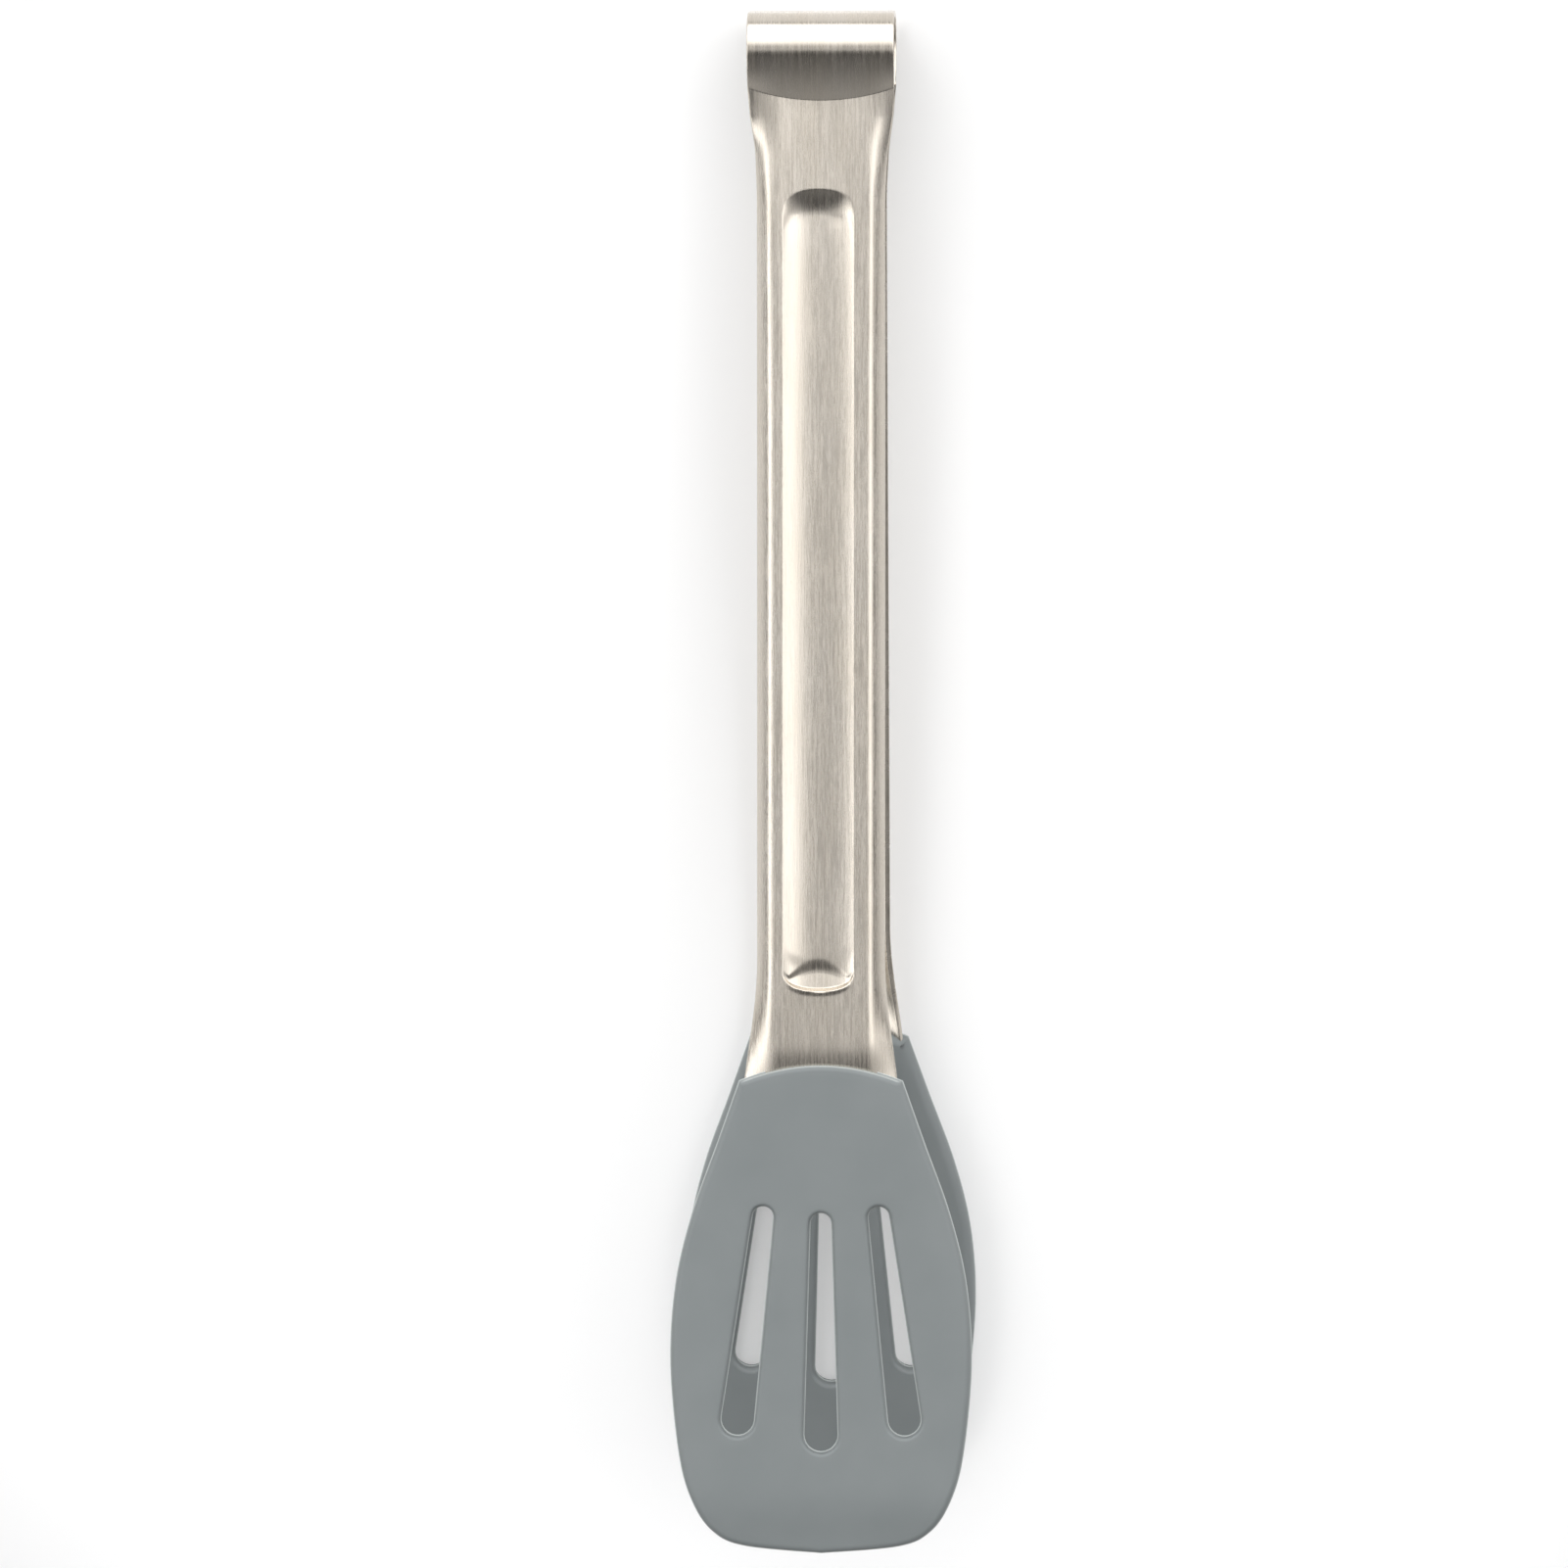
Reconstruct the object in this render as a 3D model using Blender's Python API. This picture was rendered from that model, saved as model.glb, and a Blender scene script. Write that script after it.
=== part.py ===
"""Spring-loaded kitchen tongs with slotted silicone spatula heads, lying on their lower arm.

One stainless steel strip is bent round at the top into a spring bow and pressed into two channel
arms. Each arm ends in a slotted steel plate inside a silicone head. The strip is split at the crest
of the bow, where a hinge stands in for its flexing.

Half frame, in millimetres: x across the strip, z down the tongs from the crest of the bow, d out
from the plane that the two halves mirror in, and h in from a half's outer face. The row frame is
in metres: the heads point along -Y, +Z is up, and the floor is at Z = 0.
"""

import math

import bmesh
import bpy
from mathutils import Vector

MM = 0.001
GAP = 0.3

# Steel strip
SHEET = 1.0
STRIP_HALF_WIDTH = 12.3

# Spring bow: flat crest, round lobe, neck that slopes in, then a small concave bend to the arm
CREST_HALF_FLAT = 3.6
LOBE_RADIUS = 5.9
LOBE_SWEEP = math.radians(117.0)
LOBE_STEPS = 9
NECK_LENGTH = 4.83
NECK_RADIUS = 2.5
NECK_STEPS = 3
BOW_END_Z = 17.0

# Arm: its straight outer face, turned-down edges and finger trough
ARM_ANGLE = math.radians(5.94)
SHOULDER_X = 7.75
SHOULDER_RADIUS = 3.15
EDGE_TURN_Z = (20.0, 31.0)
EDGE_FADE_Z = (158.0, 186.0)
EDGE_FADE = 0.75
LEAST_CURL = 1e-6
ARM_END_Z = 181.0
TANG_HALF_WIDTH = 13.5
JOGGLE_Z = (168.0, 181.0)
JOGGLE_DEPTH = 0.55
TROUGH_Z = (29.3, 163.0)
TROUGH_HALF_WIDTH = 6.0
TROUGH_END = 5.4
TROUGH_DEPTH = 1.5

# Silicone head: outer outline from its top corner to its tip, with the arched top edge
REST_TILT = math.radians(4.96)
HEAD_TOP_Z = 175.1
HEAD_KNOTS = [
    (13.8, 178.0),
    (17.4, 188.2),
    (21.8, 200.5),
    (24.6, 212.5),
    (25.4, 226.0),
    (24.0, 241.0),
    (21.8, 248.9),
    (18.4, 254.0),
    (13.0, 256.5),
    (0.0, 257.7),
]
HEAD_THICKNESS = 4.0
HEAD_EDGE_RADIUS = 1.3
COLLAR_THICKNESS = 1.4
COLLAR_EMBED = 0.1
COLLAR_END_Z = 192.0
MOUTH_Z = (172.0, 175.0, 178.0, ARM_END_Z + GAP)

# Drain slots: (x, z, radius) of the round top end and of the round bottom end
SLOTS = [
    ((-9.75, 200.9, 1.75), (-14.05, 234.95, 2.75)),
    ((0.0, 202.0, 1.75), (0.0, 237.6, 2.8)),
    ((9.75, 200.9, 1.75), (14.05, 234.95, 2.75)),
]
SLOT_EDGE_RADIUS = 0.7
SLOT_STEPS = 5

# Steel head plate inside the silicone
PLATE_DEPTH = 1.5
PLATE_BORDER = 2.2
SLOT_LINING = 1.4
PLATE_TOP_Z = ARM_END_Z + GAP
PLATE_CORNER = 1.0

# Where the half frame's zero lies in the row frame, for a part that touches the floor at Z = 0
# with the lobe of the bow and the flat outer face of the head
HEAD_OFFSET = CREST_HALF_FLAT + LOBE_RADIUS * (1.0 / math.cos(REST_TILT) - math.tan(REST_TILT))
CREST_HEIGHT = HEAD_OFFSET * math.cos(REST_TILT)
TIP_Z = HEAD_KNOTS[-1][1]
TIP_D = HEAD_OFFSET + TIP_Z * math.tan(REST_TILT)
TIP_REACH = TIP_Z * math.cos(REST_TILT) + TIP_D * math.sin(REST_TILT)
BOW_REACH = CREST_HALF_FLAT * math.sin(REST_TILT)
CREST_Y = (TIP_REACH - BOW_REACH) / 2.0
PIVOT_Z = SHEET / 2.0

LOWER = 1
UPPER = -1
CREASE_ANGLE = math.radians(35.0)


def to_row(x, d, z, side):
    """Row frame point, in metres, of a half frame point on the lower or the upper side."""
    y = CREST_Y - z * math.cos(REST_TILT) - side * d * math.sin(REST_TILT)
    height = CREST_HEIGHT + z * math.sin(REST_TILT) - side * d * math.cos(REST_TILT)
    return Vector((x, y, height)) * MM


def share_of(value, limits):
    """How far value is from the first limit to the second, from 0 to 1."""
    return min(max((value - limits[0]) / (limits[1] - limits[0]), 0.0), 1.0)


def smooth(value, limits):
    """share_of with an S curve."""
    t = share_of(value, limits)
    return t * t * (3.0 - 2.0 * t)


def material(name, colour, roughness, metallic):
    made = bpy.data.materials.new(name)
    made.use_nodes = True
    shader = made.node_tree.nodes["Principled BSDF"]
    shader.inputs["Base Color"].default_value = (*colour, 1.0)
    shader.inputs["Roughness"].default_value = roughness
    shader.inputs["Metallic"].default_value = metallic
    return made


def add_object(name, mesh_data, surface, parent, is_cutter=False):
    """Adds a mesh given in row coordinates, under a parent empty that may stand elsewhere."""
    vertices, faces = mesh_data
    origin = parent.location
    mesh = bpy.data.meshes.new(name)
    mesh.from_pydata([v - origin for v in vertices], [], faces)
    cleanup = bmesh.new()
    cleanup.from_mesh(mesh)
    bmesh.ops.recalc_face_normals(cleanup, faces=cleanup.faces)
    cleanup.to_mesh(mesh)
    cleanup.free()
    made = bpy.data.objects.new(name, mesh)
    made.parent = parent
    bpy.context.scene.collection.objects.link(made)
    if is_cutter:
        made.hide_render = True
        made.display_type = "WIRE"
    else:
        mesh.materials.append(surface)
        mesh.shade_smooth()
        mesh.set_sharp_from_angle(angle=CREASE_ANGLE)
    return made


def sheet_solid(outer, inner):
    """Closed body between two grids of points with the same rows and columns."""
    rows = len(outer)
    columns = len(outer[0])
    vertices = [p for grid in (outer, inner) for row in grid for p in row]

    def index(layer, row, column):
        return layer * rows * columns + row * columns + column

    faces = []
    for row in range(rows - 1):
        for column in range(columns - 1):
            for layer in (0, 1):
                corners = [(row, column), (row, column + 1), (row + 1, column + 1), (row + 1, column)]
                faces.append([index(layer, r, c) for r, c in corners])
    for row in range(rows - 1):
        for column in (0, columns - 1):
            faces.append([index(0, row, column), index(0, row + 1, column),
                          index(1, row + 1, column), index(1, row, column)])
    for column in range(columns - 1):
        for row in (0, rows - 1):
            faces.append([index(0, row, column), index(0, row, column + 1),
                          index(1, row, column + 1), index(1, row, column)])
    return vertices, faces


# Steel strip: bow and arms


def turn(d, z, heading, radius, angle, steps):
    """Stations (d, z, heading) along an arc. A positive angle turns in, a negative one turns out."""
    stations = []
    sign = math.copysign(1.0, angle)
    for step in range(1, steps + 1):
        now = heading + angle * step / steps
        reach = radius * sign
        stations.append((
            d + reach * (math.sin(now) - math.sin(heading)),
            z - reach * (math.cos(now) - math.cos(heading)),
            now,
        ))
    return stations


def bow_stations():
    """Outer face of half the bow, from the split at the crest to where the arm starts."""
    stations = [(GAP / 2.0, 0.0, 0.0), (CREST_HALF_FLAT, 0.0, 0.0)]
    stations += turn(*stations[-1], LOBE_RADIUS, LOBE_SWEEP, LOBE_STEPS)
    d, z, heading = stations[-1]
    d += NECK_LENGTH * math.cos(heading)
    z += NECK_LENGTH * math.sin(heading)
    stations.append((d, z, heading))
    arm_heading = math.pi / 2.0 - ARM_ANGLE
    stations += turn(d, z, heading, NECK_RADIUS, arm_heading - heading, NECK_STEPS)
    d, z, heading = stations[-1]
    run = BOW_END_Z - z
    stations.append((d + run * math.tan(ARM_ANGLE), BOW_END_Z, heading))
    return stations


def arm_face_d(z):
    """Outer face of the arm at z: a straight line that goes on from the bow, then the joggle."""
    d, bow_z, _ = bow_stations()[-1]
    return d + (z - bow_z) * math.tan(ARM_ANGLE) - JOGGLE_DEPTH * smooth(z, JOGGLE_Z)


def make_bow(side):
    outer = []
    inner = []
    for d, z, heading in bow_stations():
        inner_d = d - SHEET * math.sin(heading)
        inner_z = z + SHEET * math.cos(heading)
        across = (-STRIP_HALF_WIDTH, 0.0, STRIP_HALF_WIDTH)
        outer.append([to_row(x, d, z, side) for x in across])
        inner.append([to_row(x, inner_d, inner_z, side) for x in across])
    return sheet_solid(outer, inner)


def trough_depth(x, z):
    """Depth of the finger trough, a shallow bowl with rounded ends."""
    past_end = max(TROUGH_Z[0] + TROUGH_END - z, z - (TROUGH_Z[1] - TROUGH_END), 0.0)
    reach = (x / TROUGH_HALF_WIDTH) ** 2 + (past_end / TROUGH_END) ** 2
    return TROUGH_DEPTH * max(1.0 - reach, 0.0)


def arm_section(z):
    """(x, h, turn) across the strip at z: web with its trough, and edges turned in by up to turn."""
    grow = math.sin(math.pi / 2.0 * share_of(z, EDGE_TURN_Z))
    curl = grow * (1.0 - EDGE_FADE * smooth(z, EDGE_FADE_Z))
    half_width = STRIP_HALF_WIDTH + (TANG_HALF_WIDTH - STRIP_HALF_WIDTH) * smooth(z, EDGE_FADE_Z)
    web = [TROUGH_HALF_WIDTH * share for share in (0.0, 0.3, 0.6, 0.85, 1.0)] + [SHOULDER_X]
    half = [(x, trough_depth(x, z), 0.0) for x in web]
    edge_length = half_width - SHOULDER_X
    for share in (0.25, 0.5, 0.75, 1.0):
        angle = max(curl * edge_length * share / SHOULDER_RADIUS, LEAST_CURL)
        radius = edge_length * share / angle
        half.append((SHOULDER_X + radius * math.sin(angle), radius * (1.0 - math.cos(angle)), angle))
    return [(-x, h, -angle) for x, h, angle in reversed(half[1:])] + half


def arm_grids(stations, side, grow=0.0):
    """Outer and inner grid of the arm's sheet, both moved apart by grow for a cutter."""
    outer = []
    inner = []
    for z in stations:
        face_d = arm_face_d(z)
        outer_row = []
        inner_row = []
        for x, h, angle in arm_section(z):
            for row, depth in ((outer_row, -grow), (inner_row, SHEET + grow)):
                point_x = x - depth * math.sin(angle)
                point_h = h + depth * math.cos(angle)
                d = face_d - point_h * math.cos(ARM_ANGLE)
                row.append(to_row(point_x, d, z + point_h * math.sin(ARM_ANGLE), side))
        if grow:
            for row in (outer_row, inner_row):
                row[0].x -= grow * MM
                row[-1].x += grow * MM
        outer.append(outer_row)
        inner.append(inner_row)
    return outer, inner


def make_arm(side):
    edge_start = [BOW_END_Z + GAP, EDGE_TURN_Z[0], 22.5, 25.0, 27.5, TROUGH_Z[0], EDGE_TURN_Z[1]]
    trough_start = [TROUGH_Z[0] + TROUGH_END * share for share in (0.6, 1.0)]
    trough_end = [TROUGH_Z[1] - TROUGH_END * share for share in (1.0, 0.6, 0.25, 0.0)]
    tang = [JOGGLE_Z[0], 171.0, 174.0, 177.5, ARM_END_Z]
    return sheet_solid(*arm_grids(edge_start + trough_start + trough_end + tang, side))


# Heads and their inner plates


def outline_point(knots, index, t):
    """Catmull-Rom point between knots index and index + 1."""
    p0, p1, p2, p3 = (knots[min(max(index + k, 0), len(knots) - 1)] for k in (-1, 0, 1, 2))
    return tuple(
        0.5 * (2 * b + (c - a) * t + (2 * a - 5 * b + 4 * c - d) * t * t + (3 * b - a - 3 * c + d) * t ** 3)
        for a, b, c, d in zip(p0, p1, p2, p3)
    )


def arch_z(x):
    """Height of the head's arched top edge at x."""
    corner_x, corner_z = HEAD_KNOTS[0]
    return HEAD_TOP_Z + (corner_z - HEAD_TOP_Z) * (x / corner_x) ** 2


def head_outline(steps=3):
    """Closed outline (x, z) of the silicone head, with its arched top edge."""
    spans = range(len(HEAD_KNOTS) - 1)
    side = [outline_point(HEAD_KNOTS, i, step / steps) for i in spans for step in range(steps)]
    corner_x = HEAD_KNOTS[0][0]
    arch = [(corner_x * share, arch_z(corner_x * share)) for share in (0.0, 0.25, 0.5, 0.75)]
    right = arch + side
    left = [(-x, z) for x, z in reversed(right[1:])]
    return right + [HEAD_KNOTS[-1]] + left


def slot_outline(slot):
    """Closed outline (x, z) of a drain slot: two round ends joined by straight sides."""
    (top_x, top_z, top_r), (end_x, end_z, end_r) = slot
    lean = math.atan2(end_x - top_x, end_z - top_z)
    points = []
    for x, z, radius, first in ((top_x, top_z, top_r, math.pi), (end_x, end_z, end_r, 0.0)):
        for step in range(SLOT_STEPS + 1):
            angle = first + math.pi * step / SLOT_STEPS
            points.append((x + radius * math.cos(angle - lean), z + radius * math.sin(angle - lean)))
    return points


def inset(points, distance):
    """Moves a closed outline to its inner side, or outwards for a negative distance."""
    area = sum(a[0] * b[1] - b[0] * a[1] for a, b in zip(points, points[1:] + points[:1]))
    hand = math.copysign(1.0, area)
    moved = []
    for index, point in enumerate(points):
        before = points[index - 1]
        after = points[(index + 1) % len(points)]
        along = Vector((after[0] - before[0], after[1] - before[1])).normalized()
        moved.append((point[0] - hand * along.y * distance, point[1] + hand * along.x * distance))
    return moved


def plate_solid(loops, levels, side):
    """Closed flat body. loops are (outline, edge radius), the first the border and the rest holes;
    levels are (share of the edge radius to move in, h) from the outer face to the inner one."""
    body = bmesh.new()
    faces_edges = ([], [])
    for number, (outline, radius) in enumerate(loops):
        hand = 1.0 if number == 0 else -1.0
        rings = []
        for share, h in levels:
            ring = inset(outline, hand * share * radius)
            rings.append([body.verts.new(head_point(x, z, h, side)) for x, z in ring])
        count = len(outline)
        for ring, following in zip(rings, rings[1:]):
            for i in range(count):
                j = (i + 1) % count
                body.faces.new((ring[i], ring[j], following[j], following[i]))
        for edges, ring in zip(faces_edges, (rings[0], rings[-1])):
            edges += [body.edges.get((ring[i], ring[(i + 1) % count])) for i in range(count)]
    for edges in faces_edges:
        bmesh.ops.triangle_fill(body, use_beauty=True, edges=edges)
    body.verts.index_update()
    data = [v.co.copy() for v in body.verts], [[v.index for v in f.verts] for f in body.faces]
    body.free()
    return data


def head_point(x, z, h, side):
    """Row frame point at depth h under the flat outer face of the head."""
    d = HEAD_OFFSET + z * math.tan(REST_TILT) - h * math.cos(REST_TILT)
    return to_row(x, d, z + h * math.sin(REST_TILT), side)


def rounded_levels(radius, thickness):
    """Edge levels of a plate with both edges rounded to radius."""
    angles = [math.radians(angle) for angle in (0.0, 45.0, 90.0)]
    first = [(1.0 - math.sin(a), radius * (1.0 - math.cos(a))) for a in angles]
    return first + [(share, thickness - h) for share, h in reversed(first)]


def make_head(side):
    loops = [(head_outline(), HEAD_EDGE_RADIUS)]
    loops += [(slot_outline(slot), SLOT_EDGE_RADIUS) for slot in SLOTS]
    return plate_solid(loops, rounded_levels(HEAD_EDGE_RADIUS, HEAD_THICKNESS), side)


def make_collar(side):
    """Wedge on the inner face of the head, which thickens it where the arm goes in."""
    half_width = HEAD_KNOTS[0][0] - HEAD_EDGE_RADIUS
    sunk = HEAD_THICKNESS - HEAD_EDGE_RADIUS
    buried = []
    raised = []
    for share, height in ((0.0, COLLAR_THICKNESS), (1.0, -COLLAR_EMBED)):
        across = [half_width * step / 3.0 for step in range(-3, 4)]
        top = [arch_z(x) + HEAD_EDGE_RADIUS for x in across]
        points = [(x, z + share * (COLLAR_END_Z - z)) for x, z in zip(across, top)]
        buried.append([head_point(x, z, sunk, side) for x, z in points])
        raised.append([head_point(x, z, HEAD_THICKNESS + height, side) for x, z in points])
    return sheet_solid(buried, raised)


def plate_loops(border, lining, top):
    """Loops of the head plate: the head's outline from z = top down, moved in, and its slots."""
    edge = [point for point in inset(head_outline(), border) if point[1] > top + PLATE_CORNER]
    right_x = edge[0][0] - PLATE_CORNER
    outline = [(right_x, top)] + edge + [(-right_x, top)]
    return [(outline, 0.0)] + [(inset(slot_outline(slot), -lining), 0.0) for slot in SLOTS]


def make_plate(side, grow=0.0):
    loops = plate_loops(PLATE_BORDER - grow, SLOT_LINING - grow, PLATE_TOP_Z - grow)
    levels = [(0.0, PLATE_DEPTH - grow), (0.0, PLATE_DEPTH + SHEET + grow)]
    return plate_solid(loops, levels, side)


def make_mouth(side):
    """Room in the head for the end of the arm."""
    return sheet_solid(*arm_grids(MOUTH_Z, side, grow=GAP))


def add_half(prefix, side, parent, steel, silicone):
    """One half of the tongs: its bow, arm and head plate, and the head hollowed out for them."""
    add_object(prefix + "_spring_bow", make_bow(side), steel, parent)
    add_object(prefix + "_arm", make_arm(side), steel, parent)
    add_object(prefix + "_head_plate", make_plate(side), steel, parent)
    head = add_object(prefix + "_silicone_head", make_head(side), silicone, parent)
    tools = (
        ("_collar_tool", make_collar(side), "UNION"),
        ("_pocket_tool", make_plate(side, grow=GAP), "DIFFERENCE"),
        ("_mouth_tool", make_mouth(side), "DIFFERENCE"),
    )
    for name, data, operation in tools:
        cut = head.modifiers.new(name, "BOOLEAN")
        cut.operation = operation
        cut.object = add_object(prefix + name, data, None, parent, is_cutter=True)


def add_parent(name, location):
    empty = bpy.data.objects.new(name, None)
    empty.location = location
    bpy.context.scene.collection.objects.link(empty)
    return empty


def main():
    for old in list(bpy.data.objects):
        bpy.data.objects.remove(old, do_unlink=True)
    steel = material("brushed_steel", (0.62, 0.59, 0.55), 0.3, 1.0)
    silicone = material("grey_silicone", (0.25, 0.28, 0.28), 0.6, 0.0)
    lower = add_parent("lower_frame", Vector((0.0, 0.0, 0.0)))
    upper = add_parent("squeeze_pivot", to_row(0.0, 0.0, PIVOT_Z, UPPER))
    add_half("lower", LOWER, lower, steel, silicone)
    add_half("upper", UPPER, upper, steel, silicone)


main()
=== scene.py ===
"""Looks of the kitchen tongs: a brushed steel strip in one piece, and two slotted silicone heads.

Half frame, in millimetres: x across the strip, z down the tongs from the crest of the bow, d out
from the plane that the two halves mirror in, and h in from a half's outer face. The row frame is
in metres: the heads point along -Y, +Z is up, and the floor is at Z = 0.
"""

import math

import bmesh
import bpy
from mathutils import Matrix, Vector
from mathutils.geometry import delaunay_2d_cdt


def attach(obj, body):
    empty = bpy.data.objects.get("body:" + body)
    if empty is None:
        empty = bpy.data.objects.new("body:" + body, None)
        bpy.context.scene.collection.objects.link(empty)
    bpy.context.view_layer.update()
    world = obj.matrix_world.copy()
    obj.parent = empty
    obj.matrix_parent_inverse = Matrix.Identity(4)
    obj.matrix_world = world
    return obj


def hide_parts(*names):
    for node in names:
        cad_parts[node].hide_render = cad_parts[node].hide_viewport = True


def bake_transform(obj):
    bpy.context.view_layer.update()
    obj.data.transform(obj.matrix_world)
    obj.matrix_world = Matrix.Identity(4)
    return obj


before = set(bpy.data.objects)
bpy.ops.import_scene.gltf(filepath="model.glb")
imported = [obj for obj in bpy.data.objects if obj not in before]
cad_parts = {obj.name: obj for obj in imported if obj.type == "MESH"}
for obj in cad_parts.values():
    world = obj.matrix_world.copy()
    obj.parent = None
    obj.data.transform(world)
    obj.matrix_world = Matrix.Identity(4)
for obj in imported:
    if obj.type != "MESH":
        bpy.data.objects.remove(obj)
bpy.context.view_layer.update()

MM = 0.001
LOWER = 1
UPPER = -1
PREFIX = {LOWER: "lower", UPPER: "upper"}

# Steel strip
SHEET = 1.0
SHEET_EDGE_RADIUS = 0.22
STRIP_HALF_WIDTH = 12.3

# Spring bow, along its outer face: flat crest, oval lobe, round top, and a neck that curves slightly.
# The neck is shorter at the strip's edges, and that fades out along the arm.
CREST_HALF_FLAT = 3.6
CREST_SPACING = 0.9
LOBE_D = 5.9
LOBE_Z = 5.85
LOBE_STEP = math.radians(3.75)
TOP_RADIUS = 5.0
TOP_END = math.radians(104.0)
NECK_RADIUS = 32.0
CORNER_RADIUS = 0.4
NECK_ARCH = 2.3
NECK_ARCH_FADE_Z = (14.0, 75.0)
BOW_END_Z = 17.0
ARC_STEPS = 8
CORNER_STEPS = 12

# Arm: straight outer face, turned-in edges, finger trough, and the tang in the head. The shoulder is
# where an edge turns in. Pairs of its sizes are for the left one and the right one.
ARM_ANGLE = math.radians(5.94)
ARM_START = (6.328, 13.54)
SHOULDER_X = (7.2, 7.75)
SHOULDER_RADIUS = (2.8, 1.7)
SHOULDER_Z = (9.5, 24.0)
SHOULDER_EASE = 2.6
SHOULDER_SHIFT = (1.0, 0.6)
SHOULDER_EASE_Z = (19.0, 32.0)
SHOULDER_BEND = math.radians(43.0)
FLANK_RADIUS = 8.0
EDGE_FADE_Z = (158.0, 186.0)
EDGE_FADE = 0.75
ARM_END_Z = 181.0
TANG_WIDEN = 0.26
JOGGLE_Z = (171.0, 181.5)
JOGGLE_DEPTH = 1.0

# Finger trough: it starts gently near the bow, and ends at a steep wall with a scoop before it
TROUGH_Z = (29.3, 163.0)
TROUGH_X = -0.4
TROUGH_HALF_WIDTH = 6.0
TROUGH_DEPTH = 1.22
TROUGH_BULGE = 2.2
TROUGH_START_BULGE = 3.4
TROUGH_START_REACH = (2.5, 8.0)
TROUGH_CORNER = 2.3
TROUGH_ARCH = (3.8, 3.2)
TROUGH_START = 4.2
TROUGH_START_EASE = 1.5
SCOOP_FROM_END = (5.8, 3.0)
SCOOP_DEPTH = 0.36
SCOOP_BULGE = 3.0
SCOOP_RISE = math.tan(math.radians(4.0))
SCOOP_CURVE = 1.1
SCOOP_CURVE_LEAST = 0.25
WALL_REACH = 0.35
LIP_HEIGHT = 0.2
LIP_REACH = 0.9
LIP_POWER = 6.0

# Spacing of the sheet's points, as (first, last, step): across half of it, and along each arm
COLUMNS = [
    (0.0, 3.0, 0.5),
    (3.0, 5.0, 0.25),
    (5.0, 6.4, 0.1),
    (6.4, 9.6, 0.16),
    (9.6, STRIP_HALF_WIDTH, 0.5),
]
ROWS = [
    (BOW_END_Z, 28.4, 0.6),
    (28.4, 33.6, 0.15),
    (33.6, 36.0, 0.4),
    (36.0, 154.0, 3.0),
    (154.0, 158.6, 0.3),
    (158.6, 163.1, 0.12),
    (163.1, 165.0, 0.3),
    (165.0, ARM_END_Z, 0.7),
]

# Silicone head: outline from its top corner to its tip, with the arched top edge
REST_TILT = math.radians(4.96)
HEAD_TOP_Z = 175.1
HEAD_KNOTS = [
    (13.8, 178.0),
    (17.4, 188.2),
    (21.8, 200.5),
    (24.6, 212.5),
    (25.4, 226.0),
    (24.0, 241.0),
    (21.8, 248.9),
    (18.4, 254.0),
    (13.0, 256.5),
    (0.0, 257.7),
]
HEAD_THICKNESS = 4.0
HEAD_STEPS = 10
ARCH_SPACING = 0.9
SLOT_STEPS = 12
SLOT_SPACING = 0.05
HEAD_GRID = 1.3
HEAD_GRID_CLEARANCE = 0.55
COLLAR_THICKNESS = 1.4
COLLAR_END_Z = (180.0, 192.0)
COLLAR_SIDE_X = (11.0, 14.5)
SHOULDER_DROOP = 0.35
SHOULDER_DROOP_REACH = 7.0
SHOULDER_DROOP_Z = (205.0, 222.0)
TIP_CUP = 1.2
TIP_CUP_Z = (244.0, 257.7)

# Silicone edges: outer face radius, inner face radius, the fine flash at the parting line, and the
# share of paler colour painted as a highlight in a line along the arched top edge, and its heights
RIM_RADII = (0.9, 1.5)
SLOT_RADII = (0.6, 0.8)
PARTING_H = 2.0
FLASH_REACH = 0.26
FLASH_THICKNESS = 0.12
ARCH_PAINTED_HIGHLIGHT = 0.5
ARCH_PAINTED_HIGHLIGHT_H = (0.3, 1.0)

# Drain slots: (x, z, radius) of the round top end and of the round bottom end
SLOTS = [
    ((-9.75, 200.9, 1.75), (-14.05, 234.95, 2.75)),
    ((0.0, 202.0, 1.75), (0.0, 237.6, 2.8)),
    ((9.75, 200.9, 1.75), (14.05, 234.95, 2.75)),
]

HEAD_OFFSET = CREST_HALF_FLAT + LOBE_D * (1.0 / math.cos(REST_TILT) - math.tan(REST_TILT))
CREST_HEIGHT = HEAD_OFFSET * math.cos(REST_TILT)
TIP_Z = HEAD_KNOTS[-1][1]
TIP_D = HEAD_OFFSET + TIP_Z * math.tan(REST_TILT)
TIP_REACH = TIP_Z * math.cos(REST_TILT) + TIP_D * math.sin(REST_TILT)
BOW_REACH = CREST_HALF_FLAT * math.sin(REST_TILT)
CREST_Y = (TIP_REACH - BOW_REACH) / 2.0

# Studio light overhead: brightness by degrees up from the +Y horizon
OVERHEAD = [
    (0, 2.6), (40, 2.6), (64, 2.1), (70, 1.5), (74, 1.1), (76, 0.88), (77, 0.76), (78, 0.67), (79.5, 0.64),
    (81, 0.55), (83.5, 0.57), (90, 0.62), (93, 0.52), (96, 0.24), (100, 0.08), (112, 0.08), (118, 0.14),
    (125, 0.22), (131, 0.3), (140, 0.39), (148, 0.48), (180, 0.5),
]
# The same to each side, where a narrow light is added in front
SIDE_GLOW = 0.75
SIDE_GLOW_REACH = (84, 105)
OVERHEAD_SIDES = [
    (angle, max(bright, SIDE_GLOW) if SIDE_GLOW_REACH[0] < angle < SIDE_GLOW_REACH[1] else bright)
    for angle, bright in OVERHEAD
]
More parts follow.
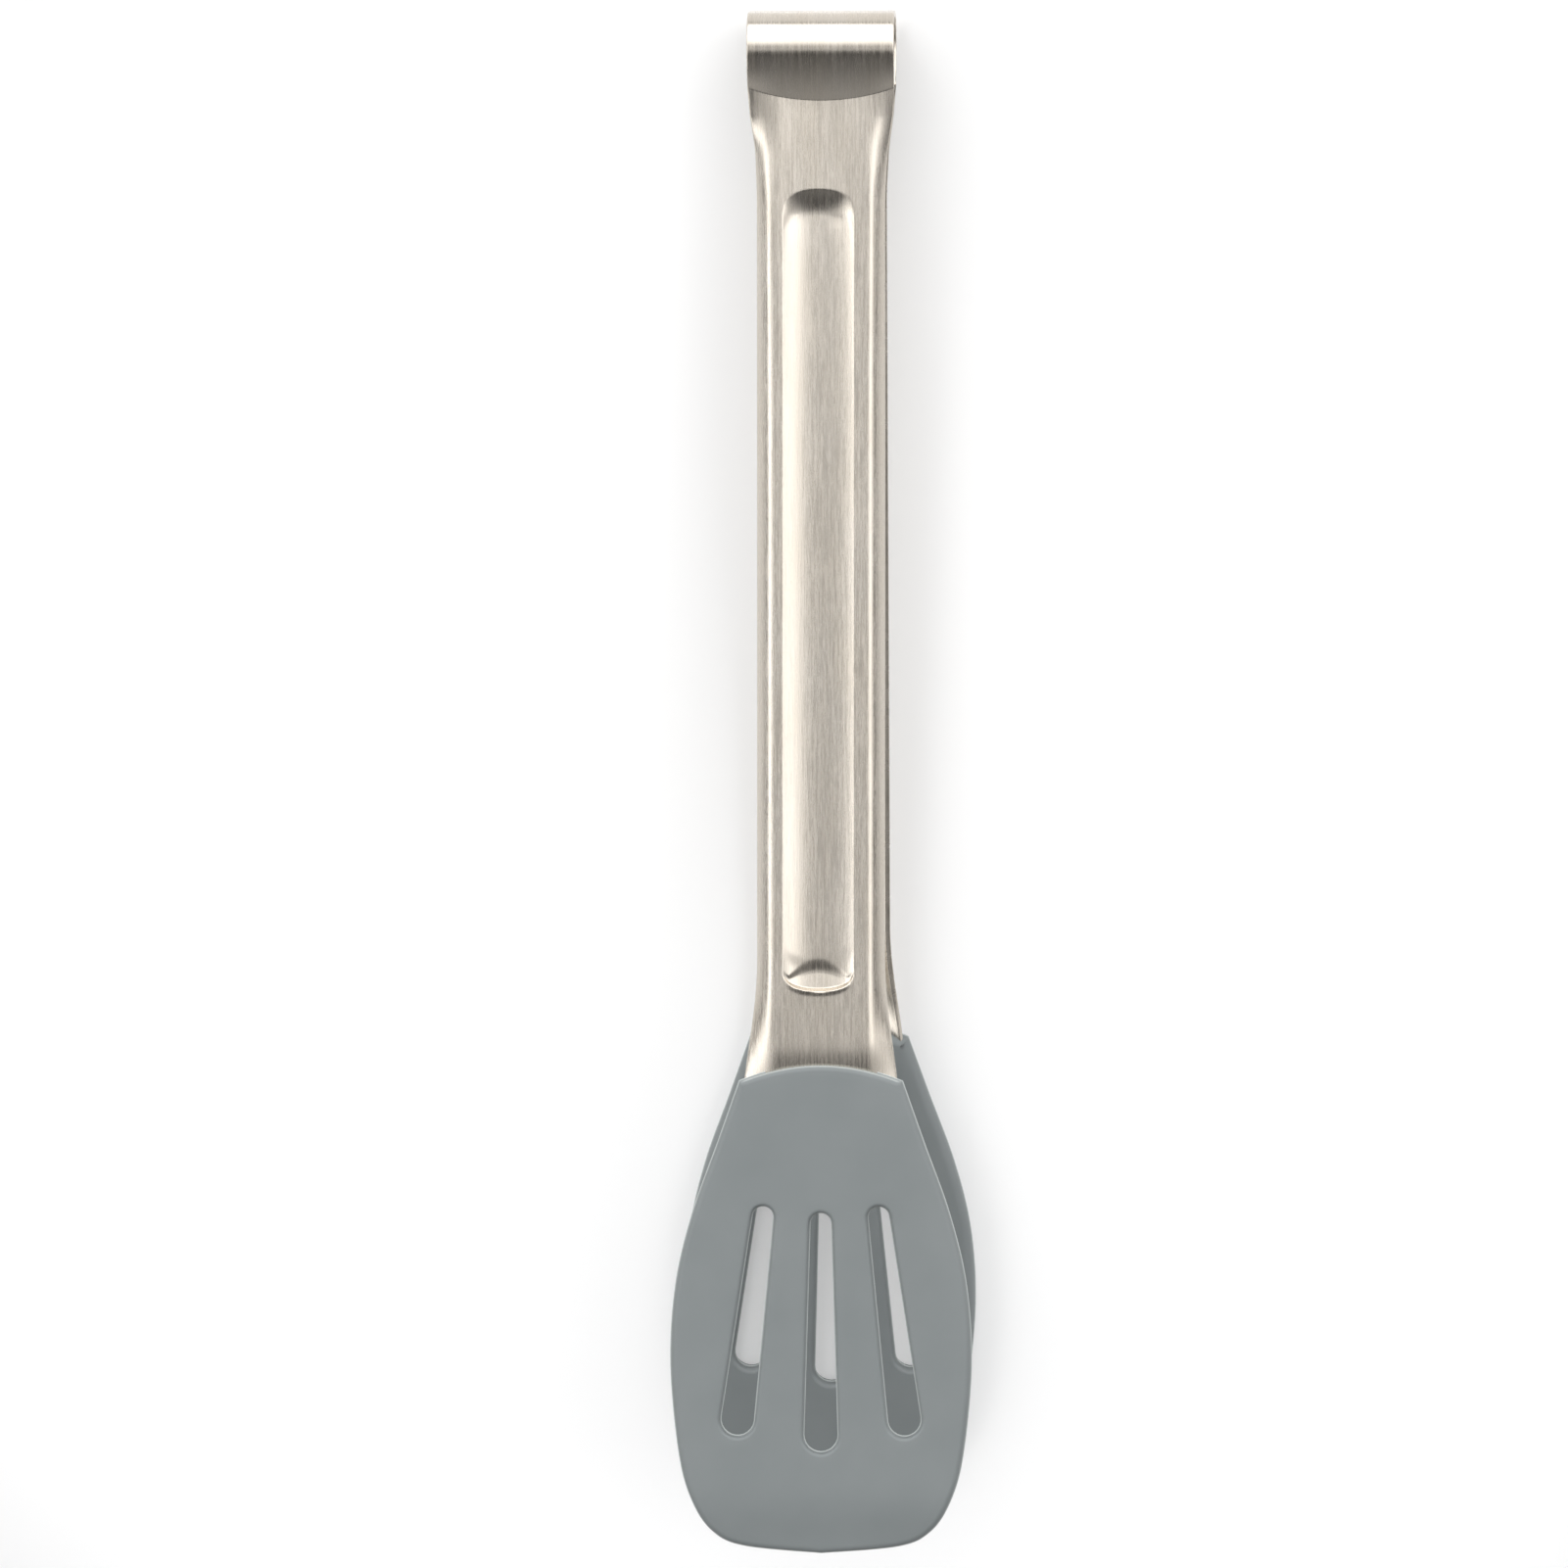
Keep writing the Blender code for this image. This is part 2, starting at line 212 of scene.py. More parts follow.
# Side lights and dark cards: share by degrees from overhead towards +X, and brightness like OVERHEAD
SIDE_LIGHTS = [
    ([(-24, 1), (-12, 0), (12, 0), (24, 1)], OVERHEAD_SIDES),
    ([(-45, 1), (-25, 0)],
     [(0, 1.3), (77.5, 1.15), (79, 0.95), (81, 0.8), (83.5, 0.65), (88, 1.1), (103, 1.1), (113, 0.3),
      (180, 0.4)]),
    ([(-71, 0), (-65, 1), (-57, 1), (-47, 0)],
     [(0, 3.6), (120, 3.6), (150, 0.6), (180, 0.5)]),
    ([(12, 0), (30, 1), (42, 1), (56, 0.3), (70, 0.2)],
     [(0, 2.4), (86, 2.4), (94, 1.0), (104, 0.6), (112, 0.25), (180, 0.3)]),
    ([(-78, 1), (-71, 0), (72, 0), (78, 1)],
     [(0, 0.1), (180, 0.1)]),
]

# Floor: a painted pool of light, paler near the tongs and painted darker further out, as (metres from the
# centre, brightness)
FLOOR_PAINTED_POOL = (0.14, 0.75)
FLOOR_PAINTED_FALLOFF = (0.32, 0.36)
FLOOR_HALF_SIZE = 12.0
# Painted glow: the floor emits its own colour, which lifts its shadows
FLOOR_PAINTED_GLOW = 0.25

# Fill light
FILL_PLACE = (-0.5, 0.2, 2.2)
FILL_SIZE = 1.6
FILL_POWER = 4.0

# Materials: brushed lines run from dark to light over this range of their noise
LINES = (0.38, 0.62)
STEEL_DARK = (0.57, 0.525, 0.466)
STEEL_LIGHT = (0.63, 0.581, 0.517)
STEEL_ROUGHNESS = (0.2, 0.32)
SILICONE_DARK = (0.159, 0.1755, 0.1775)
SILICONE_LIGHT = (0.172, 0.188, 0.19)
# Paler colour painted on as a highlight: on the parting-line flash, and in part along the arched top edge
SILICONE_PAINTED_HIGHLIGHT = (0.5, 0.53, 0.52, 1.0)
SILICONE_ROUGHNESS = (0.5, 0.58)

# Camera
CAMERA_PLACE = (0.0423, 0.2902, 1.2999)
CAMERA_TURN = (-12.821, 2.108, -0.405)
CAMERA_LENS = 177.16


def to_row(x, d, z, side):
    """Row frame point, in metres, of a half frame point on the lower or the upper side."""
    y = CREST_Y - z * math.cos(REST_TILT) - side * d * math.sin(REST_TILT)
    height = CREST_HEIGHT + z * math.sin(REST_TILT) - side * d * math.cos(REST_TILT)
    return Vector((x, y, height)) * MM


def share_of(value, limits):
    """How far value is from the first limit to the second, from 0 to 1."""
    return min(max((value - limits[0]) / (limits[1] - limits[0]), 0.0), 1.0)


def smooth(value, limits):
    """share_of with an S curve."""
    t = share_of(value, limits)
    return t * t * (3.0 - 2.0 * t)


def spread(first, last, step):
    """Evenly spaced values from first to last, both included, about step apart."""
    count = max(1, round(abs(last - first) / step))
    return [first + (last - first) * i / count for i in range(count + 1)]


def graded(stretches):
    """Values along stretches (first, last, step) that follow each other."""
    values = [value for stretch in stretches for value in spread(*stretch)[:-1]]
    return values + [stretches[-1][1]]


# Materials


class Nodes:
    """A node tree with short calls to add and link nodes."""

    def __init__(self, tree):
        self.tree = tree

    def add(self, kind, inputs=None, **settings):
        node = self.tree.nodes.new(kind)
        for name, value in settings.items():
            setattr(node, name, value)
        for key, value in (inputs or {}).items():
            if isinstance(value, bpy.types.NodeSocket):
                self.tree.links.new(value, node.inputs[key])
            else:
                node.inputs[key].default_value = value
        return node

    def math(self, operation, first, second=0.0, clamp=False):
        node = self.add("ShaderNodeMath", {0: first, 1: second}, operation=operation, use_clamp=clamp)
        return node.outputs[0]

    def ramp(self, factor, stops, interpolation="LINEAR"):
        node = self.add("ShaderNodeValToRGB", {"Fac": factor})
        ramp = node.color_ramp
        ramp.interpolation = interpolation
        while len(ramp.elements) < len(stops):
            ramp.elements.new(0.5)
        for element, (position, colour) in zip(ramp.elements, stops):
            element.position = position
            element.color = colour if len(colour) == 4 else (*colour, 1.0)
        return node.outputs["Color"]

    def noise(self, vector, scale, detail=2.0, roughness=0.5):
        settings = {"Vector": vector, "Scale": scale, "Detail": detail, "Roughness": roughness}
        return self.add("ShaderNodeTexNoise", settings).outputs["Fac"]

    def blend(self, share, first, second):
        """Value between first, at share 0, and second, at share 1."""
        node = self.add("ShaderNodeMix", {0: share, 2: first, 3: second}, data_type="FLOAT")
        return node.outputs[0]

    def mapping(self, vector, scale):
        return self.add("ShaderNodeMapping", {"Vector": vector, "Scale": scale}).outputs["Vector"]

    def range(self, value, source, target):
        """Value moved from the source range to the target range."""
        limits = {"From Min": source[0], "From Max": source[1], "To Min": target[0], "To Max": target[1]}
        return self.add("ShaderNodeMapRange", {"Value": value, **limits}).outputs["Result"]


def new_material(name):
    made = bpy.data.materials.new(name)
    made.use_nodes = True
    made.node_tree.nodes.clear()
    nodes = Nodes(made.node_tree)
    shader = nodes.add("ShaderNodeBsdfPrincipled")
    output = nodes.add("ShaderNodeOutputMaterial")
    nodes.tree.links.new(shader.outputs["BSDF"], output.inputs["Surface"])
    return made, nodes, shader


def grey(value):
    return (value, value, value, 1.0)


def steel_material():
    """Stainless steel brushed along the strip, whose UV map is in metres along the sheet."""
    made, nodes, shader = new_material("brushed_steel")
    uv = nodes.add("ShaderNodeUVMap", uv_map="strip").outputs["UV"]
    fine = nodes.noise(nodes.mapping(uv, (7000.0, 420.0, 1.0)), 1.0, 3.0, 0.6)
    coarse = nodes.noise(nodes.mapping(uv, (2400.0, 90.0, 1.0)), 1.0, 2.0, 0.6)
    blotches = nodes.noise(nodes.mapping(uv, (160.0, 40.0, 1.0)), 1.0, 3.0, 0.55)
    lines = nodes.math("ADD", nodes.math("MULTIPLY", fine, 0.5), nodes.math("MULTIPLY", coarse, 0.5))
    tint = nodes.ramp(lines, [(LINES[0], STEEL_DARK), (LINES[1], STEEL_LIGHT)])
    worn = nodes.ramp(blotches, [(0.35, (0.96, 0.95, 0.93)), (0.65, (1.0, 1.0, 1.0))])
    colour = nodes.add("ShaderNodeMix", {0: 1.0, 6: tint, 7: worn}, data_type="RGBA", blend_type="MULTIPLY")
    nodes.tree.links.new(colour.outputs[2], shader.inputs["Base Color"])
    rough = nodes.range(lines, LINES, STEEL_ROUGHNESS)
    nodes.tree.links.new(rough, shader.inputs["Roughness"])
    bump = nodes.add("ShaderNodeBump", {"Height": lines, "Strength": 0.6, "Distance": 0.00004})
    nodes.tree.links.new(bump.outputs["Normal"], shader.inputs["Normal"])
    tangent = nodes.add("ShaderNodeTangent", direction_type="UV_MAP", uv_map="strip")
    nodes.tree.links.new(tangent.outputs["Tangent"], shader.inputs["Tangent"])
    shader.inputs["Metallic"].default_value = 1.0
    shader.inputs["Anisotropic"].default_value = 0.75
    return made


def silicone_material():
    """Moulded grey silicone, satin, with faint mottling, fine dust, and a paler colour painted as highlight
    lines on the parting-line flash and along the arched top edge.
    """
    made, nodes, shader = new_material("grey_silicone")
    place = nodes.add("ShaderNodeTexCoord").outputs["Object"]
    mottling = nodes.noise(place, 90.0, 3.0, 0.5)
    grain = nodes.noise(place, 5200.0, 2.0, 0.5)
    body = nodes.ramp(mottling, [(0.3, SILICONE_DARK), (0.7, SILICONE_LIGHT)])
    # Painted highlight: a share per vertex that mixes in the paler colour on the flash and along the arched
    # top edge
    painted_highlight = nodes.add("ShaderNodeAttribute", attribute_name="painted_highlight").outputs["Fac"]
    colour = nodes.add("ShaderNodeMix", {0: painted_highlight, 6: body, 7: SILICONE_PAINTED_HIGHLIGHT}, data_type="RGBA")
    nodes.tree.links.new(colour.outputs[2], shader.inputs["Base Color"])
    rough = nodes.range(mottling, (0.0, 1.0), SILICONE_ROUGHNESS)
    nodes.tree.links.new(rough, shader.inputs["Roughness"])
    bump = nodes.add("ShaderNodeBump", {"Height": grain, "Strength": 0.2, "Distance": 0.00002})
    nodes.tree.links.new(bump.outputs["Normal"], shader.inputs["Normal"])
    shader.inputs["Specular IOR Level"].default_value = 0.4
    return made


# Steel strip


def turn(d, z, heading, radius, angle, steps):
    """Stations (d, z, heading) along an arc. A positive angle turns in, a negative one turns out."""
    stations = []
    sign = math.copysign(1.0, angle)
    for step in range(1, steps + 1):
        now = heading + angle * step / steps
        reach = radius * sign
        stations.append((
            d + reach * (math.sin(now) - math.sin(heading)),
            z - reach * (math.cos(now) - math.cos(heading)),
            now,
        ))
    return stations


def arm_line_d(z):
    """The straight outer face of the arm, on average across the strip."""
    return ARM_START[0] + (z - ARM_START[1]) * math.tan(ARM_ANGLE)


def lobe_stations():
    """Outer face from the crest's centre over the oval lobe and its round top to the neck."""
    stations = [(d, 0.0, 0.0) for d in spread(0.0, CREST_HALF_FLAT, CREST_SPACING)]
    for t in spread(0.0, math.pi / 2.0, LOBE_STEP)[1:]:
        heading = math.atan2(LOBE_Z * math.sin(t), LOBE_D * math.cos(t))
        stations.append((CREST_HALF_FLAT + LOBE_D * math.sin(t), LOBE_Z * (1.0 - math.cos(t)), heading))
    return stations + turn(*stations[-1], TOP_RADIUS, TOP_END - math.pi / 2.0, ARC_STEPS)


def neck_length():
    """Length of the neck's curve up to where it crosses the arm's line."""
    start = lobe_stations()[-1]
    length = 0.0
    while True:
        d, z, _ = turn(*start, NECK_RADIUS, length / NECK_RADIUS, 1)[-1]
        if d <= arm_line_d(z):
            return length
        length += 0.01


def neck_arch(x):
    """How much shorter the neck is at x than at its centre."""
    return NECK_ARCH * (x / STRIP_HALF_WIDTH) ** 2


def bow_stations(x, crossing):
    """Outer face of half the bow at x, from the crest's centre to the arm. Crossing is neck_length()."""
    stations = lobe_stations()
    arm_heading = math.pi / 2.0 - ARM_ANGLE
    length = crossing - neck_arch(x)
    bend = stations[-1][2] + length / NECK_RADIUS - arm_heading
    length -= CORNER_RADIUS * math.tan(bend / 2.0)
    stations += turn(*stations[-1], NECK_RADIUS, length / NECK_RADIUS, ARC_STEPS)
    return stations + turn(*stations[-1], CORNER_RADIUS, arm_heading - stations[-1][2], CORNER_STEPS)


def arm_face_d(z, sink):
    """Outer face of the arm at z: a straight line, with the joggle, sunk by sink where the arm starts."""
    return arm_line_d(z) - sink * (1.0 - smooth(z, NECK_ARCH_FADE_Z)) - JOGGLE_DEPTH * smooth(z, JOGGLE_Z)


def trough_depth(x, z):
    """Depth of the finger trough. Just past its end is a low lip."""
    u = min(abs(x - TROUGH_X) / TROUGH_HALF_WIDTH, 1.0)
    arch = 1.0 - (1.0 - u ** TROUGH_CORNER) ** (1.0 / TROUGH_CORNER)
    from_start = z - TROUGH_Z[0] - TROUGH_ARCH[0] * arch
    from_end = TROUGH_Z[1] - TROUGH_ARCH[1] * arch - z
    if from_end < 0.0:
        return -LIP_HEIGHT * max(1.0 + from_end / LIP_REACH, 0.0) * (1.0 - u ** LIP_POWER)
    start = 1.0 - (1.0 - share_of(from_start, (0.0, TROUGH_START))) ** TROUGH_START_EASE
    scooped = from_end / max(SCOOP_CURVE_LEAST, 1.0 - SCOOP_CURVE * u * u)
    near_start = 1.0 - smooth(from_start, TROUGH_START_REACH)
    power = TROUGH_BULGE + (TROUGH_START_BULGE - TROUGH_BULGE) * near_start
    power += (SCOOP_BULGE - TROUGH_BULGE) * smooth(from_end, SCOOP_FROM_END)
    bulge = 1.0 - u ** power
    floor = TROUGH_DEPTH + SCOOP_DEPTH * smooth(scooped, SCOOP_FROM_END)
    floor -= SCOOP_RISE * max(SCOOP_FROM_END[1] - scooped, 0.0)
    return floor * bulge * start * smooth(from_end, (0.0, WALL_REACH))


def section_point(u, z):
    """(x, h) of the outer face at u across the flat sheet: flat, a round shoulder, and a bowed flank.
    The bend fades in along the neck, wide at first, and opens out at the tang."""
    right = int(u > 0.0)
    bent = smooth(z, SHOULDER_Z) * (1.0 - EDGE_FADE * smooth(z, EDGE_FADE_Z))
    wide = 1.0 - smooth(z, SHOULDER_EASE_Z)
    start = SHOULDER_X[right] - SHOULDER_SHIFT[right] * wide
    if abs(u) <= start or bent == 0.0:
        return u, 0.0
    run = (abs(u) - start) * (1.0 + TANG_WIDEN * smooth(z, EDGE_FADE_Z))
    radius = (SHOULDER_RADIUS[right] + SHOULDER_EASE * wide) / bent
    bend = SHOULDER_BEND * bent
    angle = min(run / radius, bend)
    x = start + radius * math.sin(angle)
    h = radius * (1.0 - math.cos(angle))
    flank = max(run - radius * bend, 0.0)
    middle = bend + bent * flank / FLANK_RADIUS / 2.0
    return math.copysign(x + flank * math.cos(middle), u), h + flank * math.sin(middle)


def strip_grid(side):
    """Outer face points, as rows along the strip from the crest, and where its columns are."""
    half = graded(COLUMNS)
    columns = [-u for u in reversed(half[1:])] + half
    crossing = neck_length()
    bows = [bow_stations(u, crossing) for u in columns]
    sinks = [arm_line_d(bow[-1][1]) - bow[-1][0] for bow in bows]
    stations = [list(row) for row in zip(*bows)]
    arm_heading = math.pi / 2.0 - ARM_ANGLE
    for z in graded(ROWS):
        stations.append([(arm_face_d(z, sink), z, arm_heading) for sink in sinks])
    rows = []
    for line in stations:
        row = []
        for u, (d, z, heading) in zip(columns, line):
            x, h = section_point(u, z)
            h += trough_depth(u, z) if z > BOW_END_Z else 0.0
            row.append(to_row(x, d - h * math.sin(heading), z + h * math.cos(heading), side))
        rows.append(row)
    return columns, rows


def grid_normals(rows, hand):
    """Unit normals of a grid of points, from the neighbours of each."""
    last_row = len(rows) - 1
    last = len(rows[0]) - 1
    normals = []
    for r, row in enumerate(rows):
        line = []
        for c in range(len(row)):
            along = rows[min(r + 1, last_row)][c] - rows[max(r - 1, 0)][c]
            across = row[min(c + 1, last)] - row[max(c - 1, 0)]
            line.append(across.cross(along).normalized() * hand)
        normals.append(line)
    return normals


def make_strip(steel):
    """The whole strip as one sheet: a closed loop of section points at each row along it.
    The loop runs over the outer face, round one edge, back over the inner face and round the other."""
    columns, lower_rows = strip_grid(LOWER)
    _, upper_rows = strip_grid(UPPER)
    rows = list(reversed(lower_rows)) + upper_rows[1:]
    normals = grid_normals(rows, -1.0)
    travelled = [0.0]
    middle = len(columns) // 2
    for before, after in zip(rows, rows[1:]):
        travelled.append(travelled[-1] + (after[middle] - before[middle]).length)
    body = bmesh.new()
    uv = body.loops.layers.uv.new("strip")
    quarter = [math.radians(a) for a in (0.0, 30.0, 60.0, 90.0)]
    rising = [(math.cos(a), math.sin(a)) for a in quarter]
    radius = SHEET_EDGE_RADIUS * MM
    sheet = SHEET * MM
    loops = []
    places = {}
    for row, line, reach in zip(rows, normals, travelled):
        ring = []
        for layer in (0, 1):
            order = range(len(columns)) if layer == 0 else range(len(columns) - 1, -1, -1)
            for c in order:
                normal = line[c]
                at_edge = c in (0, len(columns) - 1)
                out = row[c] - row[c + 1] if c == 0 else row[c] - row[c - 1]
                out = out.normalized()
                depth = sheet * layer
                face = 1.0 if layer == 0 else -1.0
                if not at_edge:
                    points = [(0.0, 0.0)]
                elif (layer == 0) == (c == 0):
                    points = rising
                else:
                    points = list(reversed(rising))
                for edge_out, edge_up in points:
                    if at_edge:
                        place = (row[c] + out * radius * (edge_out - 1.0)
                                 - normal * (depth + face * radius * (1.0 - edge_up)))
                    else:
                        place = row[c] - normal * depth
                    vertex = body.verts.new(place)
                    places[vertex] = (columns[c] * MM, reach)
                    ring.append(vertex)
        loops.append(ring)
    count = len(loops[0])
    for before, after in zip(loops, loops[1:]):
        for i in range(count):
            j = (i + 1) % count
            body.faces.new((before[i], before[j], after[j], after[i]))
    body.faces.new(loops[0])
    body.faces.new(list(reversed(loops[-1])))
    for face in body.faces:
        for loop in face.loops:
            loop[uv].uv = places[loop.vert]
    return finish_mesh("steel_strip", body, steel)


def finish_mesh(name, body, surface):
    """Mesh object from a bmesh of a closed body, shaded smooth."""
    bmesh.ops.recalc_face_normals(body, faces=body.faces)
    mesh = bpy.data.meshes.new(name)
    body.to_mesh(mesh)
    body.free()
    mesh.shade_smooth()
    mesh.materials.append(surface)
    made = bpy.data.objects.new(name, mesh)
    bpy.context.scene.collection.objects.link(made)
    return made


# Silicone heads


def outline_point(knots, index, t):
    """Catmull-Rom point between knots index and index + 1."""
    p0, p1, p2, p3 = (knots[min(max(index + k, 0), len(knots) - 1)] for k in (-1, 0, 1, 2))
    return tuple(
        0.5 * (2 * b + (c - a) * t + (2 * a - 5 * b + 4 * c - d) * t * t + (3 * b - a - 3 * c + d) * t ** 3)
        for a, b, c, d in zip(p0, p1, p2, p3)
    )


def arch_z(x):
    """Height of the head's arched top edge at x."""
    corner_x, corner_z = HEAD_KNOTS[0]
    return HEAD_TOP_Z + (corner_z - HEAD_TOP_Z) * (x / corner_x) ** 2


def head_outline():
    """Closed outline (x, z) of the silicone head, with its arched top edge."""
    spans = range(len(HEAD_KNOTS) - 1)
    side = [outline_point(HEAD_KNOTS, i, step / HEAD_STEPS) for i in spans for step in range(HEAD_STEPS)]
    corner_x = HEAD_KNOTS[0][0]
    arch = [(x, arch_z(x)) for x in spread(0.0, corner_x, ARCH_SPACING)[:-1]]
    right = arch + side
    left = [(-x, z) for x, z in reversed(right[1:])]
    return right + [HEAD_KNOTS[-1]] + left


def slot_outline(slot):
    """Closed outline (x, z) of a drain slot: two round ends joined by straight sides."""
    (top_x, top_z, top_r), (end_x, end_z, end_r) = slot
    lean = math.atan2(end_x - top_x, end_z - top_z)
    ends = []
    for x, z, radius, first in ((top_x, top_z, top_r, math.pi), (end_x, end_z, end_r, 0.0)):
        angles = [first + math.pi * step / SLOT_STEPS for step in range(SLOT_STEPS + 1)]
        ends.append([(x + radius * math.cos(a - lean), z + radius * math.sin(a - lean)) for a in angles])
    points = []
    for end, other in ((ends[0], ends[1]), (ends[1], ends[0])):
        points += end
        (x0, z0), (x1, z1) = end[-1], other[0]
        points += [(x0 + (x1 - x0) * t, z0 + (z1 - z0) * t) for t in spread(0.0, 1.0, SLOT_SPACING)[1:-1]]
    return points


def inset(points, distance):
    """Moves a closed outline to its inner side, or outwards for a negative distance."""
    area = sum(a[0] * b[1] - b[0] * a[1] for a, b in zip(points, points[1:] + points[:1]))
    hand = math.copysign(1.0, area)
    moved = []
    for index, point in enumerate(points):
        before = points[index - 1]
        after = points[(index + 1) % len(points)]
        along = Vector((after[0] - before[0], after[1] - before[1])).normalized()
        moved.append((point[0] - hand * along.y * distance, point[1] + hand * along.x * distance))
    return moved


def inside(point, outline):
    """Whether a point lies inside a closed outline."""
    x, z = point
    odd = False
    for (ax, az), (bx, bz) in zip(outline, outline[1:] + outline[:1]):
        if (az > z) != (bz > z) and x < ax + (bx - ax) * (z - az) / (bz - az):
            odd = not odd
    return odd


def face_mesh(loops):
    """Triangles between a border loop and its hole loops, with a regular grid of points inside.
    Returns the points, the loops' points first and in order, and the triangles."""
    points = [Vector(p) for loop in loops for p in loop]
    edges = []
    start = 0
    for loop in loops:
        count = len(loop)
        edges += [(start + i, start + (i + 1) % count) for i in range(count)]
        start += count
    border = inset(loops[0], HEAD_GRID * HEAD_GRID_CLEARANCE)
    holes = [inset(loop, -HEAD_GRID * HEAD_GRID_CLEARANCE) for loop in loops[1:]]
    highest = max(z for _, z in loops[0])
    lowest = min(z for _, z in loops[0])
    reach = max(x for x, _ in loops[0])
    for z in spread(lowest, highest, HEAD_GRID):
        for x in spread(-reach, reach, HEAD_GRID):
            if inside((x, z), border) and not any(inside((x, z), hole) for hole in holes):
                points.append(Vector((x, z)))
    found, _, triangles, _, _, _ = delaunay_2d_cdt(points, edges, [], 0, 1e-6)
    kept = []
    for triangle in triangles:
        centre = sum((found[i] for i in triangle), Vector((0.0, 0.0))) / 3.0
        if inside(centre, loops[0]) and not any(inside(centre, loop) for loop in loops[1:]):
            kept.append(triangle)
    return found, kept


def half_width(z):
    """Half the head's width at z, on straight lines between its knots."""
    for (x0, z0), (x1, z1) in zip(HEAD_KNOTS, HEAD_KNOTS[1:]):
        if z <= z1:
            return x0 + (x1 - x0) * share_of(z, (z0, z1))
    return 0.0


def crown(x, z):
    """How far the outer face is below flat: it droops at the shoulders' borders and cups at the tip."""
    border = max(half_width(z) - abs(x), 0.0)
    droop = max(1.0 - border / SHOULDER_DROOP_REACH, 0.0) ** 2 * (1.0 - smooth(z, SHOULDER_DROOP_Z))
    return SHOULDER_DROOP * droop + TIP_CUP * smooth(z, TIP_CUP_Z) ** 2


def collar(x, z):
    """How much thicker the head is on its inner side, round the tang."""
    return COLLAR_THICKNESS * (1.0 - smooth(z, COLLAR_END_Z)) * (1.0 - smooth(abs(x), COLLAR_SIDE_X))


def head_point(x, z, h, side):
    """Row frame point at depth h under the flat outer face of the head."""
    share = h / HEAD_THICKNESS
    h = h + crown(x, z) * (1.0 - share) + collar(x, z) * max(2.0 * share - 1.0, 0.0)
    d = HEAD_OFFSET + z * math.tan(REST_TILT) - h * math.cos(REST_TILT)
    return to_row(x, d, z + h * math.sin(REST_TILT), side)


def edge_levels(radii):
    """Levels (inset, h, painted highlight share) down an edge: round, wall, flash at the parting line
    painted paler as a highlight, wall, round.
    """
    angles = [math.radians(a) for a in spread(0.0, 90.0, 15.0)]
    rounds = []
    for radius in radii:
        moves = [FLASH_REACH + radius * (1.0 - math.sin(a)) for a in angles]
        rounds.append([(move, radius * (1.0 - math.cos(a)), 0.0) for move, a in zip(moves, angles)])
    root = FLASH_THICKNESS / 2.0
    tip = root / 2.0
    levels = rounds[0]
    for h in (PARTING_H - 2.0 * root, PARTING_H - root):
        levels.append((FLASH_REACH, h, 0.0))
    # The flash's tip is painted fully in the highlight colour
    for h in (PARTING_H - tip, PARTING_H + tip):
        levels.append((0.0, h, 1.0))
    for h in (PARTING_H + root, PARTING_H + 2.0 * root):
        levels.append((FLASH_REACH, h, 0.0))
    return levels + [(move, HEAD_THICKNESS - h, 0.0) for move, h, _ in reversed(rounds[1])]


def make_head(side, silicone):
    """One head: a rim ring and a ring round each slot, with faces between them on both sides."""
    body = bmesh.new()
    # Share of the painted highlight colour at each vertex
    painted_highlight = body.verts.layers.float.new("painted_highlight")
    outlines = [(head_outline(), 1.0, RIM_RADII)]
    outlines += [(slot_outline(slot), -1.0, SLOT_RADII) for slot in SLOTS]
    flat = []
    made = []
    for outline, hand, radii in outlines:
        rings = []
        levels = edge_levels(radii)
        for move, h, highlight_share in levels:
            ring = [body.verts.new(head_point(x, z, h, side)) for x, z in inset(outline, hand * move)]
            # A line along the arched top edge gets part of the painted highlight colour
            on_arch_highlight = hand > 0.0 and ARCH_PAINTED_HIGHLIGHT_H[0] < h < ARCH_PAINTED_HIGHLIGHT_H[1]
            for vertex, (_, z) in zip(ring, outline):
                vertex[painted_highlight] = ARCH_PAINTED_HIGHLIGHT if on_arch_highlight and z < HEAD_KNOTS[0][1] else highlight_share
            rings.append(ring)
        for ring, following in zip(rings, rings[1:]):
            count = len(ring)
            for i in range(count):
                j = (i + 1) % count
                body.faces.new((ring[i], ring[j], following[j], following[i]))
        made.append(rings)
        flat.append([inset(outline, hand * levels[end][0]) for end in (0, -1)])
    for end, h in ((0, 0.0), (-1, HEAD_THICKNESS)):
        points, triangles = face_mesh([loops[end] for loops in flat])
        vertices = [vertex for rings in made for vertex in rings[end]]
        vertices += [body.verts.new(head_point(p.x, p.y, h, side)) for p in points[len(vertices):]]
        for a, b, c in triangles:
            body.faces.new((vertices[a], vertices[b], vertices[c]))
    return finish_mesh(PREFIX[side] + "_silicone", body, silicone)


# Studio


